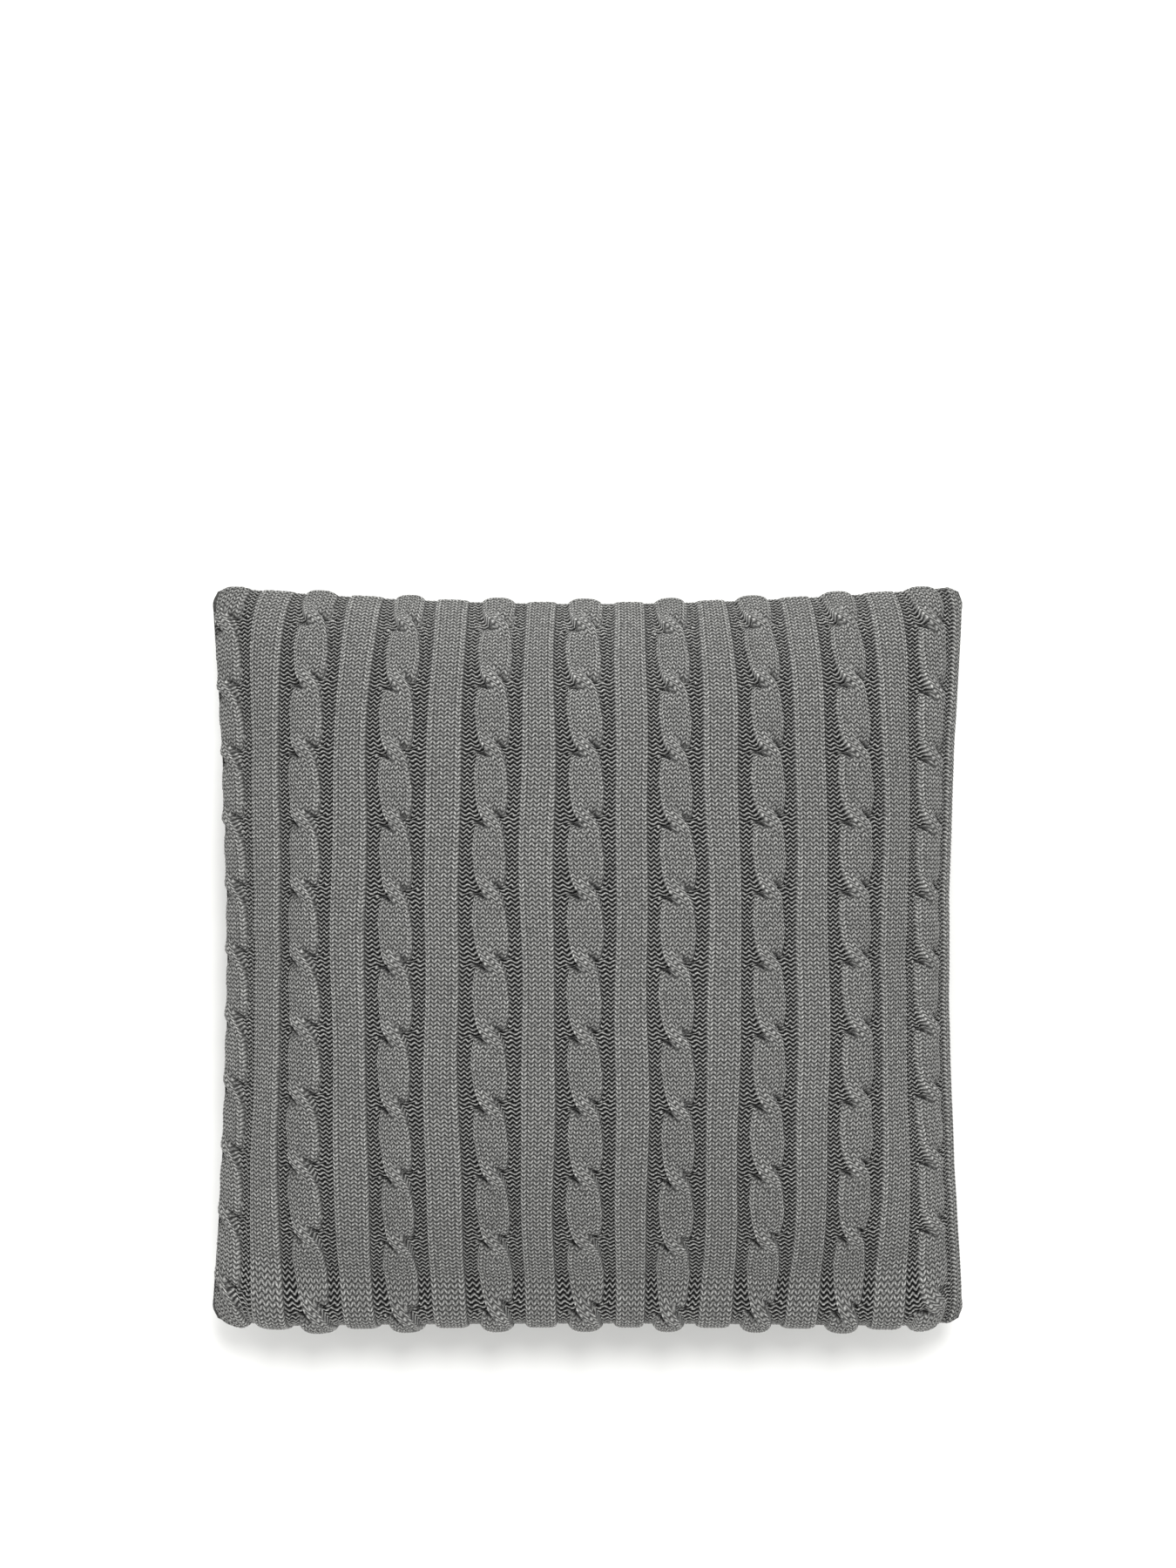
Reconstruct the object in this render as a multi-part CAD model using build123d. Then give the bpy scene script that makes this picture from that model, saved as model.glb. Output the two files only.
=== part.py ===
from build123d import *
import math
import os

# A square throw cushion lying on its back. The cable-knit cover has a front and a back panel,
# overlocked together on three sides and closed by a zip along the fourth, and holds a filled pad.
# Millimetres, +Z up. The origin is on the surface it rests on, below the middle of the cushion.
# +Y is the top edge of the knitted columns. The zip runs along the -Y edge.

# Driving dimensions
WIDTH = 457.0  # corner tip to corner tip along X
LENGTH = 448.0  # corner tip to corner tip along Y
THICKNESS = 145.0  # resting patch to crown
SEAM_HEIGHT = 66.0  # the plane where the two panels meet
SIDE_PULL_IN = 9.5  # how far the middle of the left and right sides lies inside the corners
TOP_PULL_IN = 9.5  # the same for the +Y side; the zip keeps the -Y side straight
KNIT = 4.2  # thickness of the knitted cloth
WALL_RISE = 14.0  # the zip side is a plane wall this far above and below the seam plane
LAYERS = 7  # contours from the wall's edge to the crown or the resting patch

PAD_GAP = 7.0  # in-plane gap between the cover and the pad
PAD_CLOTH = 0.8  # thickness of the pad's case
PAD_LIFT = 0.6  # gap between the cover and the pad at the crown and the patch
FILL_GAP = 0.3  # gap between the pad's case and the filling

ZIP_HALF = 178.0  # half the length of the closed chain
SLOT_HALF = 183.0  # half the length of the gap between the two hems
SLOT_HALF_HEIGHT = 4.75  # each hem's distance from the chain's centre line
TAPE_THICKNESS = 0.6
TAPE_NEAR = 1.0  # the tape's woven edge, from the centre line
TAPE_FAR = 12.4  # the tape's sewn edge, from the centre line
TOOTH_PITCH = 2.5
TOOTH_WIDTH = 1.25
TOOTH_THICKNESS = 2.2
TOOTH_TIP = 0.75  # the tip stops this far from the centre line, so the slider's post can pass
TOOTH_ROOT = 2.9
STITCH_PITCH = 3.2
STITCH_LENGTH = 2.6
STITCH_SIZE = 0.5
STITCH_FROM_CENTRE = 8.5

SLIDER_LENGTH = 9.0
SLIDER_HALF_HEIGHT = 3.5
SLIDER_CHANNEL = 2.8  # clear space between its two plates
SLIDER_PLATE = 0.8
SLIDER_REST_X = 170.0  # middle of the slider when the zip is closed
POST_HALF = 0.4  # half the post between the plates, across the chain
BRIDGE_SPAN = 5.2
BRIDGE_LEG = 0.7
BRIDGE_RISE = 1.5  # clear height under the bridge
BRIDGE_HALF_HEIGHT = 0.6
TAB_PIN_RADIUS = 0.45
TAB_THICKNESS = 0.9
TAB_HALF_HEIGHT = 2.4
TAB_ARM = 0.9
TAB_SLOT_END = 4.2  # where the tab's plate starts, from its pin
TAB_LENGTH = 15.5  # short enough to stay inside the gap between the hems at both ends

OVERLOCK_DEPTH = 5.5
OVERLOCK_THICKNESS = 2.4
PAD_SEAM_DEPTH = 5.0
PAD_SEAM_THICKNESS = 1.2
CORNER_CLIP = 34.0  # no seam allowance is left this near to a corner tip
LABEL_THICKNESS = 0.4
LABEL_WIDTH = 28.0
LABEL_LENGTH = 34.0

# Worked out from the driving dimensions
HALF_WIDTH = WIDTH / 2
HALF_LENGTH = LENGTH / 2
CROWN_RISE = THICKNESS - SEAM_HEIGHT
TAPE_FACE_Y = -HALF_LENGTH + KNIT  # the hems' inner face, where the tapes are sewn on
CHAIN_Y = TAPE_FACE_Y + TAPE_THICKNESS / 2
OUTER_PLATE_Y = CHAIN_Y - SLIDER_CHANNEL / 2 - SLIDER_PLATE
PIN_Y = OUTER_PLATE_Y - BRIDGE_RISE / 2
PAD_INSET = KNIT + PAD_GAP
CLIPPED_X = HALF_WIDTH - CORNER_CLIP
CLIPPED_Y = HALF_LENGTH - CORNER_CLIP

os.makedirs("parts", exist_ok=True)


def save(node, shape):
    shape.label = node
    export_step(shape, f"parts/{node}.step")


def block(low, high):
    """A box from its lowest to its highest corner."""
    size = [b - a for a, b in zip(low, high)]
    centre = [(a + b) / 2 for a, b in zip(low, high)]
    return Pos(*centre) * Box(*size)


# The cushion's shape: level contours, joined from the seam plane to the crown or the patch


def contour(z, middle, ends, margins, cut, inset):
    """A closed level curve: four sides through their middles, and four rounded corners.

    middle and ends are the half extents (x, -y, +y) at the sides' middles and near the corners;
    margins is how far a corner reaches along x and y, and cut how deeply it is cut off."""
    mid_x, mid_low, mid_high = (m - inset for m in middle)
    end_x, end_low, end_high = (e - inset for e in ends)
    run_x, run_y = (max(m - inset, 3.0) for m in margins)
    x, low, high = end_x - run_x, -(end_low - run_y), end_high - run_y
    tip_x, tip_y = run_x * cut, run_y * cut

    def side(start, through, end):
        straight = abs(start[1] - through[1]) < 1e-6 and abs(end[1] - through[1]) < 1e-6
        return Line(start, end) if straight else ThreePointArc(start, through, end)

    edges = [
        side((-x, -end_low), (0, -mid_low), (x, -end_low)),
        ThreePointArc((x, -end_low), (end_x - tip_x, -end_low + tip_y), (end_x, low)),
        ThreePointArc((end_x, low), (mid_x, 0), (end_x, high)),
        ThreePointArc((end_x, high), (end_x - tip_x, end_high - tip_y), (x, end_high)),
        side((x, end_high), (0, mid_high), (-x, end_high)),
        ThreePointArc((-x, end_high), (-end_x + tip_x, end_high - tip_y), (-end_x, high)),
        ThreePointArc((-end_x, high), (-mid_x, 0), (-end_x, low)),
        ThreePointArc((-end_x, low), (-end_x + tip_x, -end_low + tip_y), (-x, -end_low)),
    ]
    return Pos(0, 0, z) * Wire(edges)


def half_cushion(rise, flat, inset=0.0, lift=0.0):
    """One half of the cushion as a solid from the seam plane; rise is negative for the back half.

    flat is the size of the level patch that closes it, as a share of the half extents."""
    mid = (HALF_WIDTH - SIDE_PULL_IN, HALF_LENGTH, HALF_LENGTH - TOP_PULL_IN)
    sign = math.copysign(1, rise)
    reach = abs(rise) - lift
    wall = WALL_RISE * reach / abs(rise)
    sections = [
        contour(SEAM_HEIGHT, mid, (HALF_WIDTH, HALF_LENGTH, HALF_LENGTH), (8, 8), 0.3, inset),
        contour(
            SEAM_HEIGHT + sign * wall,
            (mid[0] - 1, mid[1], mid[2] - 1),
            (HALF_WIDTH - 13, HALF_LENGTH, HALF_LENGTH - 16),
            (30, 45),
            0.36,
            inset,
        ),
    ]
    steepest = math.acos(flat)
    for layer in range(1, LAYERS + 1):
        share = layer / LAYERS
        angle = steepest * share
        size = math.cos(angle) ** 0.9
        middle = tuple(m * size for m in (mid[0] - 1, mid[1], mid[2] - 1))
        ends = tuple(m * (0.945 - 0.02 * share) for m in middle)
        margin = (0.26 + 0.28 * share) * middle[0]
        height = wall + (reach - wall) * math.sin(angle) / math.sin(steepest)
        sections.append(
            contour(SEAM_HEIGHT + sign * height, middle, ends, (margin, margin), 0.4, inset)
        )
    return Solid.make_loft(sections, ruled=True)


def front_half(inset=0.0, lift=0.0):
    return half_cushion(CROWN_RISE, 0.22, inset, lift)


def back_half(inset=0.0, lift=0.0):
    return half_cushion(-SEAM_HEIGHT, 0.55, inset, lift)


# The knitted cover


def zip_slot():
    """The gap between the two hems."""
    return block(
        (-SLOT_HALF, -HALF_LENGTH - 1, SEAM_HEIGHT - SLOT_HALF_HEIGHT),
        (SLOT_HALF, -HALF_LENGTH + 2 * KNIT, SEAM_HEIGHT + SLOT_HALF_HEIGHT),
    )


def knit_panel(half):
    """A panel of the cover: a shell, open along the seam plane and cut back to its hem."""
    return half() - half(KNIT, KNIT) - zip_slot()


def seam_ring(start, depth, thickness):
    """A level band round the seam plane, from an inset of start inwards."""
    mid = (HALF_WIDTH - SIDE_PULL_IN, HALF_LENGTH, HALF_LENGTH - TOP_PULL_IN)
    ends = (HALF_WIDTH, HALF_LENGTH, HALF_LENGTH)
    rings = [contour(0, mid, ends, (8, 8), 0.3, inset) for inset in (start, start + depth)]
    band = extrude(Face(rings[0]) - Face(rings[1]), thickness)
    return Pos(0, 0, SEAM_HEIGHT - thickness / 2) * band


def overlock(side, cover):
    """The overlocked seam allowance inside the cover, along one side, clipped at the corners."""
    band = seam_ring(KNIT, OVERLOCK_DEPTH, OVERLOCK_THICKNESS)
    keep = {
        "left": ((-WIDTH, -CLIPPED_Y, 0), (-CLIPPED_X, CLIPPED_Y, THICKNESS)),
        "right": ((CLIPPED_X, -CLIPPED_Y, 0), (WIDTH, CLIPPED_Y, THICKNESS)),
        "top": ((-CLIPPED_X, CLIPPED_Y, 0), (CLIPPED_X, LENGTH, THICKNESS)),
    }
    strip = band & block(*keep[side])
    for panel in cover:
        strip = strip - panel
    return strip


def care_label():
    """A blank woven label, sewn in below the zip, lying against the back panel's inside."""
    patch = block(
        (-150, -HALF_LENGTH, SEAM_HEIGHT - TAPE_FAR - 1.5 - LABEL_LENGTH),
        (-150 + LABEL_WIDTH, -HALF_LENGTH / 2, SEAM_HEIGHT - TAPE_FAR - 1.5),
    )
    near = KNIT + 1.2
    return (back_half(near, near) - back_half(near + LABEL_THICKNESS, near + LABEL_THICKNESS)) & patch


# The zip


def zip_tape(side):
    """Half of the zip's woven tape; side is 1 above the chain and -1 below it."""
    near, far = sorted((side * TAPE_NEAR, side * TAPE_FAR))
    return block(
        (-SLOT_HALF, TAPE_FACE_Y, SEAM_HEIGHT + near),
        (SLOT_HALF, TAPE_FACE_Y + TAPE_THICKNESS, SEAM_HEIGHT + far),
    )


def zip_teeth(side):
    """One row of moulded teeth, clamped round its tape's edge; the rows are half a pitch apart."""
    tape = zip_tape(side)
    count = int(2 * ZIP_HALF / TOOTH_PITCH) - 3
    shift = TOOTH_PITCH / 2 if side > 0 else 0.0
    near, far = sorted((side * TOOTH_TIP, side * TOOTH_ROOT))
    teeth = []
    for index in range(count):
        x = -ZIP_HALF + 4.0 + index * TOOTH_PITCH + shift
        tooth = block(
            (x, CHAIN_Y - TOOTH_THICKNESS / 2, SEAM_HEIGHT + near),
            (x + TOOTH_WIDTH, CHAIN_Y + TOOTH_THICKNESS / 2, SEAM_HEIGHT + far),
        )
        teeth.append(tooth - tape)
    return Compound(children=teeth)


def zip_stitching(side):
    """The row of thread that sews one tape to its hem, as it shows on the tape's inner face."""
    face = TAPE_FACE_Y + TAPE_THICKNESS
    z = SEAM_HEIGHT + side * STITCH_FROM_CENTRE
    count = int(2 * ZIP_HALF / STITCH_PITCH)
    stitches = []
    for index in range(count):
        x = -ZIP_HALF + 2.0 + index * STITCH_PITCH
        stitches.append(
            block(
                (x, face, z - STITCH_SIZE / 2),
                (x + STITCH_LENGTH, face + STITCH_SIZE, z + STITCH_SIZE / 2),
            )
        )
    return Compound(children=stitches)


def top_stops():
    """Two metal stops at the closed end, one on each tape."""
    stops = []
    for side in (1, -1):
        near, far = sorted((side * 0.6, side * 3.4))
        stop = block(
            (SLIDER_REST_X + SLIDER_LENGTH / 2 + 1, CHAIN_Y - 1.1, SEAM_HEIGHT + near),
            (SLIDER_REST_X + SLIDER_LENGTH / 2 + 3, CHAIN_Y + 1.1, SEAM_HEIGHT + far),
        )
        stops.append(stop - zip_tape(side))
    return Compound(children=stops)


def bottom_stop():
    """One metal stop across both tapes at the open end."""
    stop = block(
        (-ZIP_HALF - 0.5, CHAIN_Y - 1.1, SEAM_HEIGHT - 3.0),
        (-ZIP_HALF + 3.0, CHAIN_Y + 1.1, SEAM_HEIGHT + 3.0),
    )
    return stop - zip_tape(1) - zip_tape(-1)


def slider_body():
    """Two plates round the chain, a post that parts the teeth, and the bridge for the pull tab."""
    x0 = SLIDER_REST_X - SLIDER_LENGTH / 2
    x1 = SLIDER_REST_X + SLIDER_LENGTH / 2
    z0 = SEAM_HEIGHT - SLIDER_HALF_HEIGHT
    z1 = SEAM_HEIGHT + SLIDER_HALF_HEIGHT
    inner = CHAIN_Y + SLIDER_CHANNEL / 2
    outer = CHAIN_Y - SLIDER_CHANNEL / 2
    plates = []
    for low, high in ((outer - SLIDER_PLATE, outer), (inner, inner + SLIDER_PLATE)):
        plate = block((x0, low, z0), (x1, high, z1))
        plates.append(chamfer(plate.edges().filter_by(Axis.Y), 1.2))
    post = block(
        (x1 - 2.6, outer, SEAM_HEIGHT - POST_HALF),
        (x1 - 0.6, inner, SEAM_HEIGHT + POST_HALF),
    )
    half_span = BRIDGE_SPAN / 2
    bridge = block(
        (
            SLIDER_REST_X - half_span,
            OUTER_PLATE_Y - BRIDGE_RISE - BRIDGE_LEG,
            SEAM_HEIGHT - BRIDGE_HALF_HEIGHT,
        ),
        (SLIDER_REST_X + half_span, OUTER_PLATE_Y, SEAM_HEIGHT + BRIDGE_HALF_HEIGHT),
    )
    corners = bridge.edges().filter_by(Axis.Z).sort_by(Axis.Y)[:2]
    bridge = fillet(corners, 0.8)
    eye = block(
        (SLIDER_REST_X - half_span + BRIDGE_LEG, OUTER_PLATE_Y - BRIDGE_RISE, SEAM_HEIGHT - 2),
        (SLIDER_REST_X + half_span - BRIDGE_LEG, OUTER_PLATE_Y, SEAM_HEIGHT + 2),
    )
    return plates[0] + plates[1] + post + (bridge - eye)


def pull_tab():
    """The tab that pulls the slider: a pin under the bridge, two arms and a plate, lying flat."""
    y0 = PIN_Y - TAB_THICKNESS / 2
    y1 = PIN_Y + TAB_THICKNESS / 2
    tip = SLIDER_REST_X - TAB_LENGTH
    plate = block(
        (tip, y0, SEAM_HEIGHT - TAB_HALF_HEIGHT),
        (SLIDER_REST_X + TAB_PIN_RADIUS, y1, SEAM_HEIGHT + TAB_HALF_HEIGHT),
    )
    plate = fillet(plate.edges().filter_by(Axis.Y).sort_by(Axis.X)[:2], 2.0)
    plate = fillet(plate.edges().filter_by(Axis.Z).sort_by(Axis.X)[-2:], 0.44)
    eye_half = TAB_HALF_HEIGHT - TAB_ARM
    eye = block(
        (SLIDER_REST_X - TAB_SLOT_END, y0 - 1, SEAM_HEIGHT - eye_half),
        (SLIDER_REST_X + 2 * TAB_PIN_RADIUS, y1 + 1, SEAM_HEIGHT + eye_half),
    )
    hole = Pos(tip + 4.0, PIN_Y, SEAM_HEIGHT) * Rot(90, 0, 0) * Cylinder(1.2, 2 * TAB_THICKNESS)
    pin = Pos(SLIDER_REST_X, PIN_Y, SEAM_HEIGHT) * Cylinder(TAB_PIN_RADIUS, 2 * TAB_HALF_HEIGHT)
    return plate - eye - hole + pin


# The pad inside the cover


def pad_case(half):
    """One side of the pad's case, a thin cloth shell that meets the other at the seam plane."""
    outside = half(PAD_INSET, KNIT + PAD_LIFT)
    inside = half(PAD_INSET + PAD_CLOTH, KNIT + PAD_LIFT + PAD_CLOTH)
    return outside - inside


def pad_seam(case):
    """The case's seam allowance, turned inwards along the seam plane and clipped at the corners."""
    ring = seam_ring(PAD_INSET + PAD_CLOTH, PAD_SEAM_DEPTH, PAD_SEAM_THICKNESS)
    across = block((-CLIPPED_X, -LENGTH, 0), (CLIPPED_X, LENGTH, THICKNESS))
    along = block((-WIDTH, -CLIPPED_Y, 0), (WIDTH, CLIPPED_Y, THICKNESS))
    ring = ring & (across + along)
    for side in case:
        ring = ring - side
    return ring


def filling():
    """The loose fibre filling, one mass that nearly touches the case and clears its seam."""
    inset = PAD_INSET + PAD_CLOTH + FILL_GAP
    lift = KNIT + PAD_LIFT + PAD_CLOTH + FILL_GAP
    groove = seam_ring(inset - 1, PAD_SEAM_DEPTH + 1 + FILL_GAP, PAD_SEAM_THICKNESS + 2 * FILL_GAP)
    return front_half(inset, lift) + back_half(inset, lift) - groove


def pad_label():
    """The blank label on the pad's case, sewn into its seam and lying on the front."""
    patch = block(
        (-160, HALF_LENGTH / 2, SEAM_HEIGHT + 2),
        (-160 + LABEL_WIDTH, HALF_LENGTH, SEAM_HEIGHT + 2 + LABEL_LENGTH),
    )
    inset = PAD_INSET - LABEL_THICKNESS
    lift = KNIT + PAD_LIFT - LABEL_THICKNESS
    return (front_half(inset, lift) - front_half(PAD_INSET, KNIT + PAD_LIFT)) & patch


panels = [knit_panel(front_half), knit_panel(back_half)]
save("knit_front_panel", panels[0])
save("knit_back_panel", panels[1])
for name in ("left", "right", "top"):
    save(f"{name}_seam_overlock", overlock(name, panels))
save("care_label", care_label())

for name, above in (("upper", 1), ("lower", -1)):
    save(f"zip_tape_{name}", zip_tape(above))
    save(f"zip_teeth_{name}", zip_teeth(above))
    save(f"zip_stitching_{name}", zip_stitching(above))
save("zip_top_stops", top_stops())
save("zip_bottom_stop", bottom_stop())
save("zip_slider", slider_body())
save("zip_pull_tab", pull_tab())

cases = [pad_case(front_half), pad_case(back_half)]
save("pad_case_front", cases[0])
save("pad_case_back", cases[1])
save("pad_case_seam", pad_seam(cases))
save("pad_label", pad_label())
save("pad_filling", filling())
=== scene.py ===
import math

import bpy
import numpy as np
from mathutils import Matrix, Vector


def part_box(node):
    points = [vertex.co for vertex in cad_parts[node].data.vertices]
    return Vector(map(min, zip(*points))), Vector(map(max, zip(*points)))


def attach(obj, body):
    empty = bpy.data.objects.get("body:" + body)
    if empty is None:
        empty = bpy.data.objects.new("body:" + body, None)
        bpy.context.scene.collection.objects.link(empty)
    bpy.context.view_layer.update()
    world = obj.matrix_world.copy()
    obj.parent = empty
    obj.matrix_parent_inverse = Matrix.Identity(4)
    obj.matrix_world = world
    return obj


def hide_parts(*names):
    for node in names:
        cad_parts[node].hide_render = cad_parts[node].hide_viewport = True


# The looks of a cable-knit throw cushion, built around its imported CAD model. Metres, +Z up.
# The cloth is made stitch by stitch: each panel is a grid of wales (columns) and courses (rows)
# with a relief of knit and purl stitches, laid over a cushion shape inflated by cloth simulation.

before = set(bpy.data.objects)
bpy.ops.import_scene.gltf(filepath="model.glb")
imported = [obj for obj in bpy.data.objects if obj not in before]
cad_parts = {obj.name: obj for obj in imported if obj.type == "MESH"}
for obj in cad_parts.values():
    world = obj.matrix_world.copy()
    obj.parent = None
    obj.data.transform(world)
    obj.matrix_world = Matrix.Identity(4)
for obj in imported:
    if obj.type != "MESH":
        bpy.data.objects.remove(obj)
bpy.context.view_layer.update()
MM = 0.001

# The cushion's shape, from the frame
PANEL_LOW, PANEL_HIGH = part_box("knit_front_panel")
SEAM_Z = PANEL_LOW.z
CROWN_Z = PANEL_HIGH.z
HALF_X = PANEL_HIGH.x
HALF_Y = PANEL_HIGH.y
EDGE_SHRINK = 0.8 * MM  # the cloth's ground lies this far inside the CAD outline
SIDE_PULL_IN = 10.2 * MM  # how far the sides' middles lie inside the corners
TOP_PULL_IN = 10.7 * MM
BOTTOM_PULL_IN = 2.2 * MM
CORNER_CUT = 3.2 * MM  # how far each rounded corner falls short along X and Y
HEM_GAP = 4.75 * MM  # each hem's distance from the zip's centre line
HEM_CLEAR = 4.0 * MM  # the hems close this far past the tape's ends
HEM_TAPER = 5.0 * MM  # and come together over this distance
HEM_DEPTH = 18.0 * MM  # the gap fades out this far from the zip, along the cloth
ZIP_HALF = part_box("zip_tape_upper")[1].x
SIM_CELLS = 64  # cells along each side of a panel in the simulated cloth
SIDE_ROUNDNESS = 0.48  # the lower, the fuller the cushion beside its side seams
END_ROUNDNESS = 0.55
START_SHARE = 0.84  # the panels' height before they are inflated, as a share of the CAD height
SIM_FRAMES = 20
SIM_PRESSURE = 4.0
SIM_CAP = 24.0 * MM
REST_DEPTH = 5.0 * MM  # the cushion's underside is pressed flat by this much where it rests
REST_BLEND = 6.0 * MM  # how gradually the underside turns up from the floor
LUMP_RISE = 1.1 * MM  # the slow unevenness of the filled front
LUMP_SIZE = 0.16
LUMP_SEED = 11
WALL_HEIGHT = 9.0 * MM  # the cloth stands upright this far above and below the zip
WALL_BLEND = 40.0 * MM  # and joins the crowned cushion within this distance
WALL_CORNER = 34.0 * MM  # the wall fades out within this distance of each corner
CORNER_CLEAR = 6.0 * MM

# The knitting
COURSES = 181
ROWS_PER_COURSE = 6
COLUMNS_PER_KNIT_WALE = 6
COLUMNS_PER_PURL_WALE = 5
CABLES = 9
CABLE_HALF = 10.7 * MM
GUTTER_WIDTH = 6.9 * MM
STRIPE_WIDTH = 20.3 * MM
CABLE_WALES = 6
STRIPE_WALES = 5
GUTTER_WALES = 2
LEFT_EDGE_WALES = 2
RIGHT_EDGE_WALES = 3
CROSSING_COURSES = 16
COURSE_PITCH = 2.8 * MM
CROSSING_PHASE = 11.0  # the first crossing, in courses from the zip's hem
CROSSING_DRIFT = 0.5  # how far crossings lie higher or lower from cable to cable, in courses
MIDDLE_CABLE = -1.8 * MM  # the middle cable's place beside the cushion's middle
LEAN = 0.025  # the knitting is stretched by this share on the left and eased on the right
LEAN_BLEND = 30.0 * MM  # how gradually that changes over the middle
CABLE_RISE = 5.6 * MM
CROSSING_LIFT = 2.2 * MM
CROSSING_TURN = 6.0 * MM  # the distance in which the strands change sides
CROSSING_REACH = 8.5 * MM  # the distance in which the cable becomes one plain bulb
STRAND_SWELL = 1.9 * MM  # how much wider each strand's half is where it crosses
BULB_START = 1.2 * MM  # the hidden strand comes out this far below the crossing
BULB_ROUND = 4.5 * MM  # and its end rounds up over this distance
SHOULDER_START = 0.76  # the width it comes out with, as a share of the cable's
SHOULDER_GROWTH = 0.28  # and the share it gains lower down
CREASE_OUTER = 11.0 * MM  # the creases beside the front strand start this far from the middle
CREASE_INNER = 1.8 * MM  # and end this far from it
CREASE_START = 1.2 * MM  # the creases' distances above and below the crossing at those two ends
CREASE_END = 5.8 * MM
CREASE_HALF = 0.9 * MM
UPPER_CREASE = 0.6  # how deep the upper crease is beside the lower one, and how dark its painted shade is
CREASE_DEPTH = 2.4 * MM
FAN = 0.9  # how far the purl rows are drawn together towards a crossing, in courses
WAIST_HALF = 4.7 * MM  # half the cable's width where its strands cross
BULB_TAPER = 8.5 * MM  # how gradually a bulb fills out from its ends
STRIPE_RISE = 2.9 * MM
KNIT_RELIEF = 1.1 * MM
PURL_RELIEF = 1.6 * MM
# painted shade on the purl gutters: their colour is multiplied by this
GUTTER_PAINTED_SHADE = 0.63
OUTER_WALE_HIGHLIGHT = 0.34  # painted highlight: how much lighter a raised band's outer wale is painted
INNER_LINE_SHADE = 0.24  # and painted shade: how much darker the line inside it is painted
LEG_FOOT = 0.06  # a stitch's legs start this far from the wale's middle, in wales
LEG_LEAN = 0.38  # and part by this much, each, over one course
LEG_HALF = 0.215  # half a leg's thickness, in wales
LEG_LENGTH = 0.66  # half a leg's length, in courses
PURL_WAVE = 0.33  # how far a purl bar waves up and down, in courses
PURL_HALF = 0.30  # half a purl bar's thickness, in courses
CLOTH_INSIDE = 2.2 * MM  # the cloth's inner face, below its ground
CLOTH_WIDTH = 490.0 * MM  # roughly, measured along the crowned cloth
CLOTH_LENGTH = 480.0 * MM
SIDE_FADE = 4.0 * MM / CLOTH_WIDTH  # the relief fades within this share of the width from the sides
END_FADE = 3.0 * MM / CLOTH_LENGTH  # and within this share of the length from the ends

WANDER = 0.9 * MM  # how far the columns wander from straight lines
WANDER_SIZE = 0.13
FRONT_SEED = 21
BACK_SEED = 22

BACK_WALES = 120
BACK_COLUMNS_PER_WALE = 4
BACK_ROWS_PER_COURSE = 4
BACK_STRIPS = 4
BACK_INNER_STEP = 4


def smoothstep(x):
    x = np.clip(x, 0.0, 1.0)
    return x * x * (3.0 - 2.0 * x)


def waves(x, y, seed, size):
    """Slow, repeatable unevenness between about -1 and 1, over features of roughly that size."""
    count = 5
    rng = np.random.default_rng(seed)
    total = np.zeros(np.broadcast(x, y).shape)
    for _ in range(count):
        angle = rng.uniform(0.0, 2.0 * math.pi)
        turn = rng.uniform(0.7, 1.5) * 2.0 * math.pi / size
        total = total + np.sin((x * math.cos(angle) + y * math.sin(angle)) * turn + rng.uniform(0.0, 6.3))
    return total / math.sqrt(count)


# Meshes


def mesh_object(name, points, quads, ngons=()):
    """A mesh object from an (n, 3) array of points and an (m, 4) array of corner numbers, shaded
    smooth, with other faces, shaded flat, as lists of corner numbers."""
    mesh = bpy.data.meshes.new(name)
    quads = np.asarray(quads, np.int32).reshape(-1, 4)
    loops = list(quads.reshape(-1))
    for polygon in ngons:
        loops.extend(polygon)
    totals = np.concatenate([np.full(len(quads), 4), [len(p) for p in ngons]]).astype(np.int32)
    starts = np.concatenate([[0], np.cumsum(totals)[:-1]]).astype(np.int32)
    mesh.vertices.add(len(points))
    mesh.vertices.foreach_set("co", np.asarray(points, np.float32).reshape(-1))
    mesh.loops.add(len(loops))
    mesh.loops.foreach_set("vertex_index", np.asarray(loops, np.int32))
    mesh.polygons.add(len(totals))
    mesh.polygons.foreach_set("loop_start", starts)
    mesh.polygons.foreach_set("loop_total", totals)
    shades = np.zeros(len(totals), bool)
    shades[: len(quads)] = True
    mesh.polygons.foreach_set("use_smooth", shades)
    mesh.update(calc_edges=True)
    obj = bpy.data.objects.new(name, mesh)
    bpy.context.scene.collection.objects.link(obj)
    return obj


def cell_corners(index):
    """The corner numbers of each cell of a grid of point numbers, column by column."""
    corners = [index[:-1, :-1], index[1:, :-1], index[1:, 1:], index[:-1, 1:]]
    return np.stack(corners, axis=-1).reshape(-1, 4)


# The cushion's shape


def outline_point(side, t):
    """A point of the seam in plan: side is left, right, bottom or top, and t runs up or right."""
    bow = np.sin(math.pi * t) ** 0.85
    x = HALF_X - EDGE_SHRINK
    y = HALF_Y - EDGE_SHRINK
    from_corner = 2.0 * (y if side in ("left", "right") else x) * np.minimum(t, 1.0 - t)
    cut = CORNER_CUT * np.maximum(0.0, 1.0 - from_corner / (2.0 * CORNER_CUT)) ** 2
    run = 2.0 * t - 1.0
    if side == "left":
        return -x + SIDE_PULL_IN * bow + cut, (y - CORNER_CUT) * run
    if side == "right":
        return x - SIDE_PULL_IN * bow - cut, (y - CORNER_CUT) * run
    if side == "bottom":
        return (x - CORNER_CUT) * run, -y + BOTTOM_PULL_IN * bow + cut
    return (x - CORNER_CUT) * run, y - TOP_PULL_IN * bow - cut


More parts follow.
